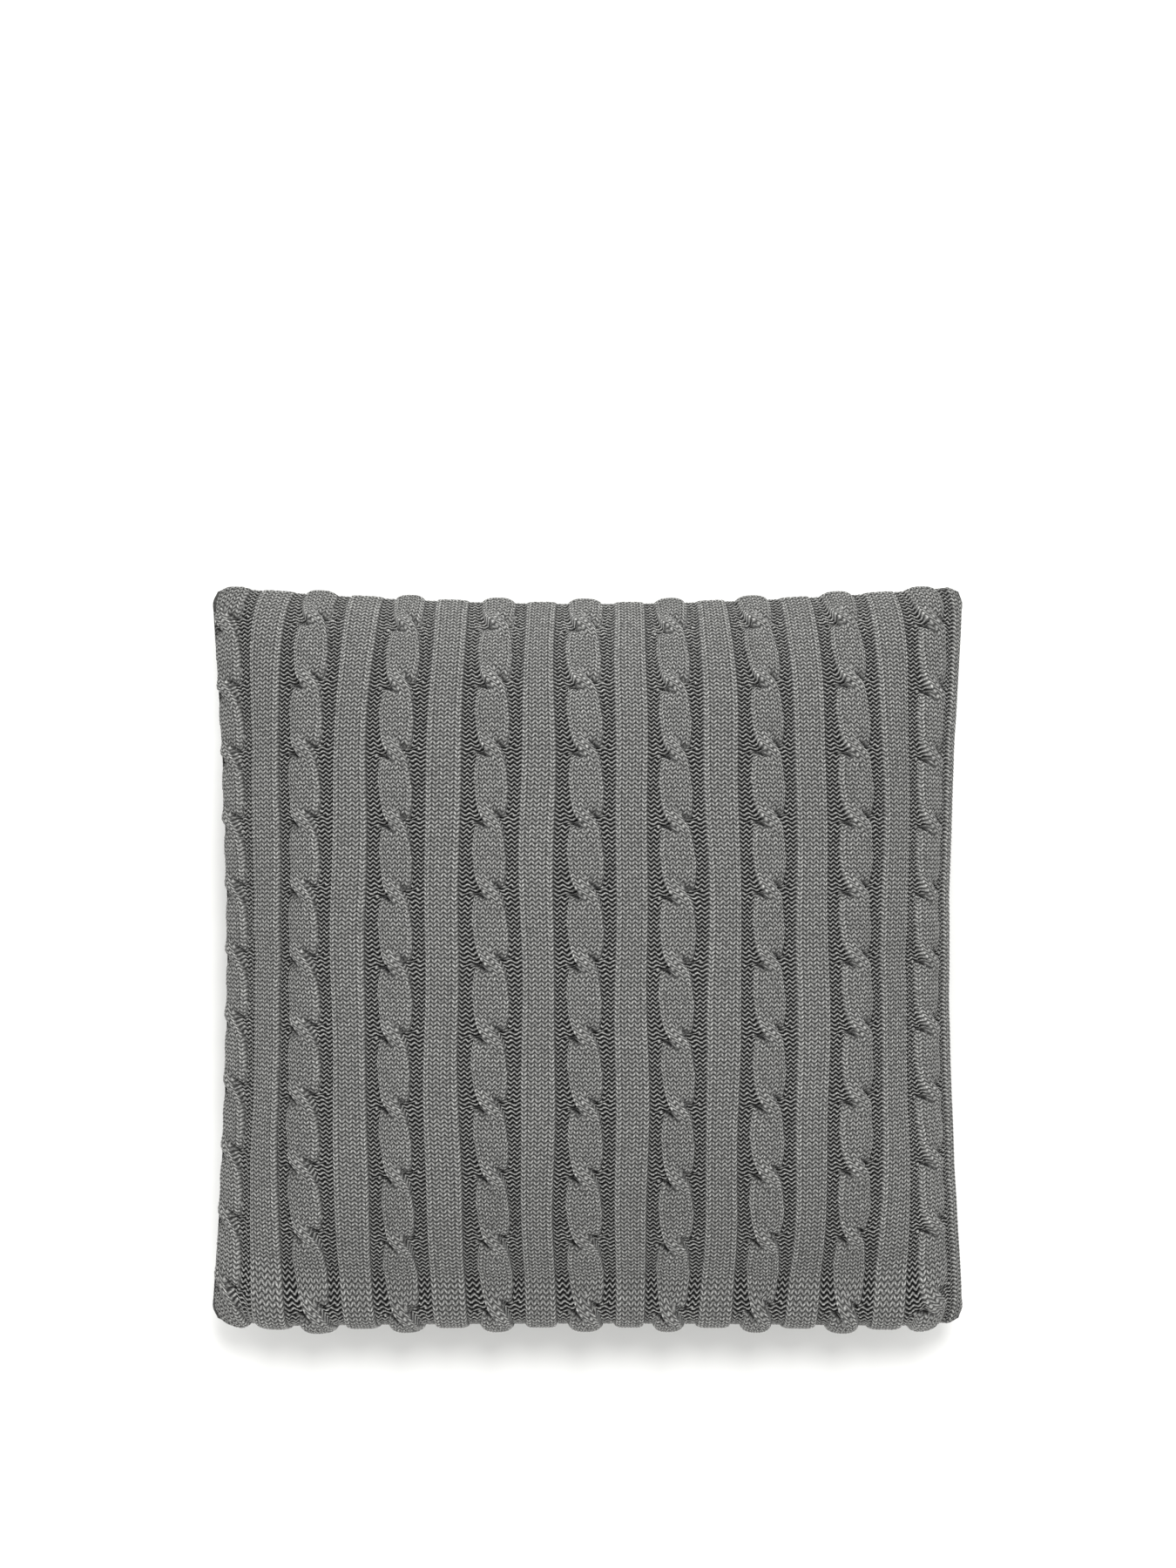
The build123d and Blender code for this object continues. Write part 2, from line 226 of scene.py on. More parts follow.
def start_panel(front):
    """The panel before it is inflated, as a grid of points (u across, v up)."""
    t = np.linspace(0.0, 1.0, SIM_CELLS + 1)
    t = 0.6 * (0.5 - 0.5 * np.cos(math.pi * t)) + 0.4 * t
    u, v = np.meshgrid(t, t, indexing="ij")
    left, right = outline_point("left", v), outline_point("right", v)
    bottom, top = outline_point("bottom", u), outline_point("top", u)
    corner_x = HALF_X - EDGE_SHRINK - CORNER_CUT
    corner_y = HALF_Y - EDGE_SHRINK - CORNER_CUT
    x = (1 - u) * left[0] + u * right[0] + (1 - v) * bottom[0] + v * top[0] - corner_x * (2 * u - 1)
    y = (1 - u) * left[1] + u * right[1] + (1 - v) * bottom[1] + v * top[1] - corner_y * (2 * v - 1)
    rise = CROWN_Z - SEAM_Z if front else SEAM_Z
    side_crown = (1 - np.abs(2 * u - 1) ** 2.3) ** SIDE_ROUNDNESS
    end_crown = (1 - np.abs(2 * v - 1) ** 2.3) ** END_ROUNDNESS
    z = SEAM_Z + (START_SHARE if front else -START_SHARE) * rise * (side_crown * end_crown)
    return np.stack([x, y, z], axis=-1)


def inflate(front, back):
    """Both panels after a short cloth simulation under pressure, held along their seams."""
    size = SIM_CELLS + 1
    points = np.concatenate([front.reshape(-1, 3), back.reshape(-1, 3)])
    index = np.arange(2 * size * size).reshape(2, size, size)
    for edge in (np.s_[0, :], np.s_[-1, :], np.s_[:, 0], np.s_[:, -1]):
        index[1][edge] = index[0][edge]
    quads = np.concatenate([cell_corners(index[0]), cell_corners(index[1])[:, ::-1]])
    used, numbers = np.unique(quads, return_inverse=True)
    cloth = mesh_object("cloth", points[used], numbers.reshape(-1, 4))
    seam = np.unique(np.concatenate([index[0, 0], index[0, -1], index[0, :, 0], index[0, :, -1]]))
    group = cloth.vertex_groups.new(name="seam")
    group.add([int(k) for k in np.searchsorted(used, seam)], 1.0, "REPLACE")
    modifier = cloth.modifiers.new("inflate", "CLOTH")
    cloth_settings = modifier.settings
    cloth_settings.quality = 6
    cloth_settings.mass = 0.2
    cloth_settings.tension_stiffness = 2.0
    cloth_settings.compression_stiffness = 2.0
    cloth_settings.shear_stiffness = 1.0
    cloth_settings.shrink_min = -0.01  # a little more cloth than the flat outline needs
    cloth_settings.bending_stiffness = 0.8
    cloth_settings.vertex_group_mass = "seam"
    cloth_settings.use_pressure = True
    cloth_settings.uniform_pressure_force = SIM_PRESSURE
    cloth_settings.effector_weights.gravity = 0.0
    modifier.point_cache.frame_start = 1
    modifier.point_cache.frame_end = SIM_FRAMES
    for step in range(1, SIM_FRAMES + 1):
        bpy.context.scene.frame_set(step)
    swollen = cloth.evaluated_get(bpy.context.evaluated_depsgraph_get()).data
    moved = np.zeros(len(used) * 3, np.float32)
    swollen.vertices.foreach_get("co", moved)
    bpy.data.objects.remove(cloth)
    bpy.context.scene.frame_set(1)
    shift = moved.reshape(-1, 3) - points[used]
    length = np.linalg.norm(shift, axis=1, keepdims=True)
    points[used] += shift * np.minimum(1.0, SIM_CAP / np.maximum(length, 1e-9))
    return points[index[0]], points[index[1]]


def evened(grid):
    """The same surface with its points spread evenly along both directions, as cloth spreads."""
    for _ in range(2):
        for axis in (0, 1):
            lines = np.moveaxis(grid, axis, 0)
            steps = np.linalg.norm(np.diff(lines, axis=0), axis=-1)
            along = np.concatenate([np.zeros((1, lines.shape[1])), np.cumsum(steps, axis=0)])
            wanted = np.linspace(0.0, 1.0, lines.shape[0])
            result = np.empty_like(lines)
            for k in range(lines.shape[1]):
                place = along[:, k] / along[-1, k]
                for c in range(3):
                    result[:, k, c] = np.interp(wanted, place, lines[:, k, c])
            grid = np.moveaxis(result, 0, axis)
    return grid


def softened(grid, times):
    """Small facets smoothed away, with the panel's edges kept."""
    for _ in range(times):
        inner = 0.25 * (grid[:-2, 1:-1] + grid[2:, 1:-1] + grid[1:-1, :-2] + grid[1:-1, 2:])
        grid = grid.copy()
        grid[1:-1, 1:-1] = 0.5 * grid[1:-1, 1:-1] + 0.5 * inner
    return grid


def with_zip_wall(grid, outward):
    """The surface with an upright wall beside the zip, where the hem is sewn flat to its tape."""
    step = np.linalg.norm(np.diff(grid, axis=1), axis=-1)
    along = np.concatenate([np.zeros((grid.shape[0], 1)), np.cumsum(step, axis=1)], axis=1)
    upright = grid.copy()
    upright[..., 1] = grid[:, :1, 1]
    upright[..., 2] = SEAM_Z + outward * along
    keep = 1.0 - smoothstep((along - WALL_HEIGHT) / WALL_BLEND)
    keep = keep * smoothstep((HALF_X - CORNER_CLEAR - np.abs(grid[..., 0])) / WALL_CORNER)
    return grid + (upright - grid) * keep[..., None]


class Surface:
    """A smooth surface through a grid of points, with its outward normal."""

    def __init__(self, grid, outward):
        across = np.gradient(grid, axis=0)
        up = np.gradient(grid, axis=1)
        normal = np.cross(across, up) * outward
        normal = normal / np.linalg.norm(normal, axis=-1, keepdims=True)
        data = np.concatenate([grid, normal], axis=-1)
        data = np.concatenate([2 * data[:1] - data[1:2], data, 2 * data[-1:] - data[-2:-1]], axis=0)
        first, last = 2 * data[:, :1] - data[:, 1:2], 2 * data[:, -1:] - data[:, -2:-1]
        self.data = np.concatenate([first, data, last], axis=1)
        self.cells = grid.shape[0] - 1
        self.grid = grid
        self.outward = outward

    def at(self, u, v):
        """Points and normals at u and v, from 0 to 1 across and up the panel."""

        def weights(t):
            return (
                0.5 * (-t + 2 * t**2 - t**3),
                0.5 * (2 - 5 * t**2 + 3 * t**3),
                0.5 * (t + 4 * t**2 - 3 * t**3),
                0.5 * (-(t**2) + t**3),
            )

        x = np.clip(u, 0.0, 1.0) * self.cells
        y = np.clip(v, 0.0, 1.0) * self.cells
        i = np.minimum(x.astype(int), self.cells - 1)
        j = np.minimum(y.astype(int), self.cells - 1)
        total = np.zeros((*np.shape(u), 6))
        for a, wa in enumerate(weights(x - i)):
            for b, wb in enumerate(weights(y - j)):
                total += (wa * wb)[..., None] * self.data[i + a, j + b]
        normal = total[..., 3:]
        normal = normal / np.linalg.norm(normal, axis=-1, keepdims=True)
        return total[..., :3], normal

    def width(self, v):
        """The panel's width along the cloth at height v."""
        u = np.linspace(0.0, 1.0, 200)
        points, _ = self.at(u, np.full_like(u, v))
        return float(np.linalg.norm(np.diff(points, axis=0), axis=1).sum())


def cushion_surfaces():
    """The ground of the front and the back panel, inflated, evened out and walled at the zip."""
    front, back = start_panel(True), start_panel(False)
    front, back = inflate(front, back)
    ground = CROWN_Z - STRIPE_RISE - SEAM_Z
    front[..., 2] = SEAM_Z + (front[..., 2] - SEAM_Z) * ground / (front[..., 2].max() - SEAM_Z)
    depth = SEAM_Z + REST_DEPTH
    back[..., 2] = SEAM_Z + (back[..., 2] - SEAM_Z) * depth / (SEAM_Z - back[..., 2].min())
    rest = KNIT_RELIEF + 0.4 * MM
    over = back[..., 2] - rest
    lower = 0.5 * REST_BLEND * smoothstep((SEAM_Z - back[..., 2]) / SEAM_Z)
    back[..., 2] = rest + 0.5 * (over + np.sqrt(over**2 + REST_BLEND**2)) - lower
    back[..., 2] = np.maximum(back[..., 2], rest)
    surfaces = []
    for grid, outward in ((front, 1.0), (back, -1.0)):
        grid = softened(evened(grid), 4)
        if outward > 0:
            fade = np.clip((grid[..., 2] - SEAM_Z) / (20.0 * MM), 0.0, 1.0)
            grid[..., 2] += LUMP_RISE * waves(grid[..., 0], grid[..., 1], LUMP_SEED, LUMP_SIZE) * fade
        surfaces.append(Surface(with_zip_wall(grid, outward), outward))
    return surfaces


# The stitches


def knit_relief(wale, course):
    """The face of plain knitting, from 0 to 1: two slanted legs of yarn for each stitch."""
    side = np.abs(wale % 1.0 - 0.5)
    height = np.zeros(side.shape)
    for step in (-1.0, 0.0, 1.0):
        along = course % 1.0 - step
        across = (side - LEG_FOOT - LEG_LEAN * along) / LEG_HALF
        end = (along - 0.5) / LEG_LENGTH
        height = np.maximum(height, 1.0 - across**2 - end**2)
    return np.sqrt(height)


def purl_relief(wale, course):
    """The back of plain knitting, from 0 to 1: one wavy bar of yarn for each course."""
    bar = 0.5 + PURL_WAVE * np.cos(2.0 * math.pi * wale)
    height = np.zeros(bar.shape)
    for step in (-1.0, 0.0, 1.0):
        across = (course % 1.0 - step - bar) / PURL_HALF
        height = np.maximum(height, 1.0 - across**2)
    return np.sqrt(height)


def dome(x, power, sharpness):
    """A crowned profile: 1 in the middle, 0 at x of -1 and 1 and beyond."""
    return np.maximum(0.0, 1.0 - np.abs(x) ** power) ** sharpness


def band_painted_light(share, wales):
    """Painted light across a raised band, as a factor on the yarn's colour: painted shade at its foot,
    a painted highlight on its outer wale, which stands proud, and a painted dark line of shade
    inside that wale."""
    side = np.minimum(share, 1.0 - share) * wales
    proud_highlight = np.exp(-(((side - 0.5) / 0.3) ** 2))
    line = np.exp(-(((side - 1.0) / 0.15) ** 2))
    # painted shade at the band's foot, a painted highlight on its outer wale and a painted shade line
    # inside it
    return 0.55 + 0.45 * smoothstep(side / 0.25) + OUTER_WALE_HIGHLIGHT * proud_highlight - INNER_LINE_SHADE * line


class Cable:
    """One cable: two strands of three wales that cross every sixteen courses, the one from the
    upper left always in front."""

    def __init__(self, course, drift):
        repeat = (course - CROSSING_PHASE - drift) / CROSSING_COURSES
        self.y = (repeat - np.round(repeat)) * CROSSING_COURSES * COURSE_PITCH
        self.left = -self.edge(self.y)
        self.right = self.edge(-self.y)

    def edge(self, y):
        """The distance from the cable's middle to its left edge, y above the crossing: above, the
        front strand runs in from the side; below, the hidden strand comes out in a full shoulder."""
        spread = 1.0 - np.exp(-np.maximum(y, 0.0) / BULB_TAPER)
        strand = WAIST_HALF + (CABLE_HALF - WAIST_HALF) * spread + np.minimum(y, 0.0) * 1.2
        fullness = 1.0 - np.exp(-np.maximum(-y - BULB_START, 0.0) / BULB_TAPER)
        shoulder = CABLE_HALF * (SHOULDER_START + SHOULDER_GROWTH * fullness)
        return strand + (shoulder - strand) * smoothstep((-y - 0.75 * BULB_START) / (2.2 * MM))

    def crease(self, x):
        """How deep in the two creases beside the front strand a place lies, from 0 to 1."""
        y = self.y[None, :]
        beside = x * np.sign(y)
        reach = np.clip((CREASE_OUTER - beside) / (CREASE_OUTER - CREASE_INNER), 0.0, 1.2)
        fall = CREASE_END - CREASE_START
        slope = 1.6 * fall * reach**0.6 / (CREASE_OUTER - CREASE_INNER)
        away = (np.abs(y) - CREASE_START - fall * reach**1.6) / np.hypot(1.0, slope)
        outer_end = smoothstep((CREASE_OUTER - beside) / (1.5 * MM))
        inner_end = smoothstep((beside - CREASE_INNER) / (2.0 * MM))
        depth = np.where(y < 0.0, 1.0, UPPER_CREASE)
        return np.exp(-((away / CREASE_HALF) ** 2)) * outer_end * inner_end * depth

    def relief(self, share, course):
        """Heights above the ground, the wale and course that lie there, and the painted light of each
        place: painted shade in the creases and at the cable's foot, painted highlights on its outer
        wales and its front strand. Share runs from 0 to 1 across the cable."""
        y = self.y[None, :]
        x = self.left + (self.right - self.left) * share
        near = np.exp(-((y / CROSSING_REACH) ** 2))
        whole = dome(2.0 * share - 1.0, 2.6, 0.55)
        middle = -0.5 * CABLE_HALF * np.tanh(y / CROSSING_TURN)
        half = 0.5 * CABLE_HALF + STRAND_SWELL * np.exp(-((y / CROSSING_TURN) ** 2))
        over = (x - middle) / half
        under = (x + middle) / half
        end = np.sqrt(1.0 - (1.0 - np.clip((np.abs(y) - BULB_START) / BULB_ROUND, 0.0, 1.0)) ** 2)
        front = (CABLE_RISE + CROSSING_LIFT * near) * dome(over, 2.8, 0.5)
        behind = CABLE_RISE * whole * end * (1.0 - 0.5 * near)
        crossing = np.maximum(front, behind)
        height = CABLE_RISE * whole * (1.0 - near**0.6) + crossing * near**0.6
        in_front = front >= behind
        wale = np.where(near < 0.15, CABLE_WALES * share, 1.5 + 1.5 * np.where(in_front, over, under))
        slanted = course + 0.9 * near * np.where(in_front, over, -0.4 * under)
        stitches = knit_relief(wale, slanted)
        crease = self.crease(x)
        height = height - CREASE_DEPTH * crease
        # painted light on the cable: painted shade in the creases beside the front strand, where the cloth
        # is also sunk, and a painted highlight on the front strand near the crossing
        painted_light = band_painted_light(share, CABLE_WALES) * (1.0 - crease) * (1.0 + 0.1 * near * in_front)
        return height + KNIT_RELIEF * stitches * (1.0 - 0.6 * near), wale, slanted, painted_light


def front_layout():
    """The front's bands of knitting from left to right, as (kind, wales, width, cable number)."""
    layout = [("stripe", LEFT_EDGE_WALES, 0.0, 0)]
    for number in range(CABLES):
        layout.append(("gutter", GUTTER_WALES, GUTTER_WIDTH, number))
        layout.append(("cable", CABLE_WALES, 2 * CABLE_HALF, number))
        layout.append(("gutter", GUTTER_WALES, GUTTER_WIDTH, number))
        if number < CABLES - 1:
            layout.append(("stripe", STRIPE_WALES, STRIPE_WIDTH, number))
    layout.append(("stripe", RIGHT_EDGE_WALES, 0.0, CABLES))
    return layout


def band_edges(layout, width):
    """Where each band starts and ends, along the cloth from the left seam."""
    place = np.concatenate([[0.0], np.cumsum([band[2] for band in layout])])
    place = place - 0.5 * place[-1]
    lean = LEAN * (np.hypot(place, LEAN_BLEND) - LEAN_BLEND)
    place = 0.5 * width + MIDDLE_CABLE + place - lean
    place[0], place[-1] = 0.0, width
    return place


def edge_fade(u, v, height):
    """Relief dies away towards the seams, where the cloth turns under."""
    side = smoothstep(np.minimum(u, 1.0 - u) / SIDE_FADE)
    end = smoothstep(np.minimum(v, 1.0 - v) / END_FADE)
    return height * (0.35 + 0.65 * side * end)


def middle_of_cable(cable, edge, before_cable):
    """The middle of the cable whose left (or, after it, right) edge that is."""
    return edge - (cable.left if before_cable else cable.right)


def band_columns(kind, wales, low, high, cable, course, before_cable):
    """The columns of one band of knitting. Each place holds its distance across the cloth, its
    height, its wale, its course, its painted light (painted shade and painted highlight, as a
    factor on the yarn's colour), and 1 for purl or 0 for knit."""
    count = wales * (COLUMNS_PER_PURL_WALE if kind == "gutter" else COLUMNS_PER_KNIT_WALE)
    share = np.repeat(np.linspace(0.0, 1.0, count + 1)[:, None], len(course), axis=1)
    x = low + (high - low) * share
    wale = wales * share
    rows = np.broadcast_to(course, share.shape)
    if kind == "cable":
        height, wale, rows, painted_light_places = cable.relief(share, course[None, :])
    elif kind == "stripe":
        height = STRIPE_RISE * dome(2.0 * share - 1.0, 6.0, 0.45) + KNIT_RELIEF * knit_relief(wale, rows)
        painted_light_places = band_painted_light(share, STRIPE_WALES)
    else:
        towards = share if before_cable else 1.0 - share
        pull = cable.y / CROSSING_TURN
        rows = rows + FAN * towards**1.5 * pull * np.exp(-(pull**2))
        height = PURL_RELIEF * purl_relief(wale, rows)
        middle = middle_of_cable(cable, high if before_cable else low, before_cable)
        # painted light in the gutter: painted shade overall, painted lighter where it widens towards a
        # crossing and painted darker in the creases beside the front strand
        wider_painted_light = 1.0 + 0.35 * towards * np.exp(-(pull**2))
        painted_light_places = GUTTER_PAINTED_SHADE * wider_painted_light * (1.0 - 0.9 * cable.crease(x - middle))
    purl = np.full(share.shape, 1.0 if kind == "gutter" else 0.0)
    return np.stack([x, height, wale, rows, painted_light_places, purl], axis=-1)


def front_strips(width, course):
    """The front's columns, grouped in strips: each a stripe with the gutters and the cable to the
    right of it, and the last a stripe alone."""
    layout = front_layout()
    edges = band_edges(layout, width)
    cables = [Cable(course, CROSSING_DRIFT * math.sin(2.1 * k + 0.6)) for k in range(CABLES)]
    strips = []
    for k, (kind, wales, _, number) in enumerate(layout):
        low, high = edges[k], edges[k + 1]
        before_cable = k + 1 < len(layout) and layout[k + 1][0] == "cable"
        cable = cables[min(number, CABLES - 1)]
        if kind == "cable":
            middle = 0.5 * (low + high)
            low, high = middle + cable.left, middle + cable.right
        elif kind == "gutter" and before_cable:
            high = high + CABLE_HALF + cable.left
        elif kind == "gutter":
            low = low - CABLE_HALF + cable.right
        columns = band_columns(kind, wales, low, high, cable, course, before_cable)
        if k == 0:
            strips.append([columns])
        elif kind == "stripe":
            strips.append([strips[-1][-1][-1:], columns[1:]])
        else:
            strips[-1].append(columns[1:])
    return [np.concatenate(strip) for strip in strips]


def panel_grid(surface, x, height, v, width, seed):
    """The outer and inner points of a strip of cloth."""
    wander = WANDER * waves(x * 2.0, v[None, :] * CLOTH_LENGTH, seed, WANDER_SIZE)
    u = x / width
    away = np.minimum(u, 1.0 - u)
    u = u + wander / width * smoothstep(away * 12.0)
    u = np.clip(u, 0.0, 1.0)
    vv = np.broadcast_to(v[None, :], u.shape)
    ground, normal = surface.at(u, vv)
    lifted = edge_fade(u, vv, height)
    outer = ground + normal * lifted[..., None]
    inner = ground - normal * CLOTH_INSIDE
    opening = HEM_GAP * smoothstep((ZIP_HALF + HEM_CLEAR - np.abs(ground[..., 0])) / HEM_TAPER)
    opening = opening * smoothstep(1.0 - vv * COURSES * COURSE_PITCH / HEM_DEPTH) * surface.outward
    outer[..., 2] = np.maximum(outer[..., 2] + opening, 0.0)
    inner[..., 2] += opening
    return outer, inner


def cloth_strip(name, outer, inner, stitches, column_step, row_step):
    """A closed strip of cloth: the stitched outer face, a coarser inner face and its edges."""
    columns, rows = outer.shape[:2]
    column_picks = np.unique(np.append(np.arange(0, columns, column_step), columns - 1))
    row_picks = np.unique(np.append(np.arange(0, rows, row_step), rows - 1))
    outer_points = outer.reshape(-1, 3)
    inner_points = inner[np.ix_(column_picks, row_picks)].reshape(-1, 3)
    offset = len(outer_points)
    index = np.arange(columns * rows).reshape(columns, rows)
    low = offset + np.arange(len(inner_points)).reshape(len(column_picks), len(row_picks))
    quads = cell_corners(index)
    polygons = [list(q) for q in cell_corners(low)[:, ::-1]]
    for picks, fine, coarse, turned in (
        (row_picks, index[0, :], low[0, :], False),
        (row_picks, index[-1, :], low[-1, :], True),
        (column_picks, index[:, 0], low[:, 0], True),
        (column_picks, index[:, -1], low[:, -1], False),
    ):
        for k in range(len(picks) - 1):
            run = [int(n) for n in fine[picks[k] : picks[k + 1] + 1]]
            polygon = run + [int(coarse[k + 1]), int(coarse[k])]
            if turned:
                polygon.reverse()
            polygons.append(polygon)
    strip = mesh_object(name, np.concatenate([outer_points, inner_points]), quads, polygons)
    wale, course, painted_light, purl = np.moveaxis(stitches, -1, 0)
    turn = 2.0 * math.pi * wale
    stitch = np.stack([np.cos(turn), np.sin(turn), course], axis=-1).reshape(-1, 3)
    stitch = np.concatenate([stitch, np.tile([1.0, 0.0, 0.0], (len(inner_points), 1))])
    store(strip, "stitch", "FLOAT_VECTOR", "vector", stitch)
    # painted light for each point: painted shade and painted highlight on the outer face, and an even
    # painted shade of one half on the hidden inner face
    inside = np.full(len(inner_points), 0.5)
    store(strip, "painted_light", "FLOAT", "value", np.concatenate([painted_light.reshape(-1), inside]))
    store(strip, "purl", "FLOAT", "value", np.concatenate([purl.reshape(-1), 0.0 * inside]))
    return strip


def store(obj, name, kind, field, values):
    """Keeps a value for each of the mesh's points, for its material."""
    attribute = obj.data.attributes.new(name, kind, "POINT")
    attribute.data.foreach_set(field, np.asarray(values, np.float32).reshape(-1))


def build_front(surface):
    """The front panel, in strips of cables, gutters and plain stripes."""
    width = surface.width(0.5)
    course = np.arange(COURSES * ROWS_PER_COURSE + 1) / ROWS_PER_COURSE
    pieces = []
    v = course / COURSES
    for number, strip in enumerate(front_strips(width, course)):
        x, height, stitches = strip[..., 0], strip[..., 1], strip[..., 2:]
        outer, inner = panel_grid(surface, x, height, v, width, FRONT_SEED)
        name = f"knit_front_{number + 1}"
        pieces.append(cloth_strip(name, outer, inner, stitches, COLUMNS_PER_KNIT_WALE, ROWS_PER_COURSE))
    return pieces


def build_back(surface):
    """The back panel, in plain knitting."""
    columns = BACK_WALES * BACK_COLUMNS_PER_WALE + 1
    rows = COURSES * BACK_ROWS_PER_COURSE + 1
    wale = np.arange(columns) / BACK_COLUMNS_PER_WALE
    course = np.arange(rows) / BACK_ROWS_PER_COURSE
    width = surface.width(0.5)
    x = np.broadcast_to((wale / BACK_WALES * width)[:, None], (columns, rows))
    grids = np.meshgrid(wale, course, indexing="ij")
    height = KNIT_RELIEF * knit_relief(grids[0], grids[1])
    outer, inner = panel_grid(surface, x, height, course / COURSES, width, BACK_SEED)
    stitches = np.stack([*grids, np.ones(x.shape), np.zeros(x.shape)], axis=-1)
    pieces = []
    cuts = [int(k) for k in np.linspace(0, BACK_WALES, BACK_STRIPS + 1)]
    for number in range(BACK_STRIPS):
        part = slice(cuts[number] * BACK_COLUMNS_PER_WALE, cuts[number + 1] * BACK_COLUMNS_PER_WALE + 1)
        sides = [grid[part][::-1] for grid in (outer, inner, stitches)]
        pieces.append(cloth_strip(f"knit_back_{number + 1}", *sides, BACK_INNER_STEP, BACK_INNER_STEP))
    return pieces


# Materials


YARN_DARK = (0.056, 0.056, 0.054, 1.0)
YARN_LIGHT = (0.176, 0.176, 0.169, 1.0)
KNIT_GAP_SHADE = 0.27  # painted shade: how light the gaps between stitches are painted, beside the yarn's own colour
KNIT_CREST_HIGHLIGHT = 1.66  # and painted highlight: how much lighter than that the crests of the yarn are painted
# how quickly the painted highlight on the knit crests falls off into the painted shade of the gaps
KNIT_SHARPNESS = 1.2
# painted highlight on the purl bars' crests, with painted shade down to black between them
PURL_CREST_HIGHLIGHT = 3.0
PURL_SHARPNESS = 2.3


def new_material(name):
    material = bpy.data.materials.new(name)
    material.use_nodes = True
    return material, material.node_tree, material.node_tree.nodes["Principled BSDF"]


def add_node(tree, kind, **inputs):
    node = tree.nodes.new(kind)
    for key, value in inputs.items():
        node.inputs[key.replace("_", " ")].default_value = value
    return node


def maths(tree, operation, *values):
    """The result of one Math node, whose inputs are numbers or other nodes' results."""
    node = tree.nodes.new("ShaderNodeMath")
    node.operation = operation
    for socket, value in zip(node.inputs, values):
        if isinstance(value, (int, float)):
            socket.default_value = value
        else:
            tree.links.new(value, socket)
    return node.outputs[0]


def attribute(tree, name):
    node = tree.nodes.new("ShaderNodeAttribute")
    node.attribute_name = name
    return node


def squared(tree, value):
    return maths(tree, "MULTIPLY", value, value)


def knit_pattern(tree, turn, course):
    """knit_relief as nodes, so that each leg of yarn stays crisp however close the view."""
    side = maths(tree, "SUBTRACT", 0.5, maths(tree, "DIVIDE", maths(tree, "ABSOLUTE", turn), 2 * math.pi))
    height = 0.0
    for step in (-1.0, 0.0, 1.0):
        along = maths(tree, "SUBTRACT", maths(tree, "FRACT", course), step)
        middle = maths(tree, "MULTIPLY_ADD", along, LEG_LEAN, LEG_FOOT)
        across = maths(tree, "DIVIDE", maths(tree, "SUBTRACT", side, middle), LEG_HALF)
        end = maths(tree, "DIVIDE", maths(tree, "SUBTRACT", along, 0.5), LEG_LENGTH)
        filled = maths(tree, "SUBTRACT", 1.0, squared(tree, across))
        height = maths(tree, "MAXIMUM", height, maths(tree, "SUBTRACT", filled, squared(tree, end)))
    return height


def purl_pattern(tree, cosine, course):
    """purl_relief as nodes."""
    bar = maths(tree, "MULTIPLY_ADD", cosine, PURL_WAVE, 0.5)
    height = 0.0
    for step in (-1.0, 0.0, 1.0):
        gap = maths(tree, "SUBTRACT", maths(tree, "SUBTRACT", maths(tree, "FRACT", course), step), bar)
        filled = maths(tree, "SUBTRACT", 1.0, squared(tree, maths(tree, "DIVIDE", gap, PURL_HALF)))
        height = maths(tree, "MAXIMUM", height, filled)
    return height


def blended(tree, share, first, second):
    """The first value where share is 0, the second where it is 1."""
    node = tree.nodes.new("ShaderNodeMix")
    for socket, value in zip((node.inputs[0], node.inputs[2], node.inputs[3]), (share, first, second)):
        tree.links.new(value, socket)
    return node.outputs[0]


def multiply_colours(tree, first, second):
    node = tree.nodes.new("ShaderNodeMix")
    node.data_type = "RGBA"
    node.blend_type = "MULTIPLY"
    node.inputs["Factor"].default_value = 1.0
    tree.links.new(first, node.inputs[6])
    tree.links.new(second, node.inputs[7])
    return node.outputs[2]


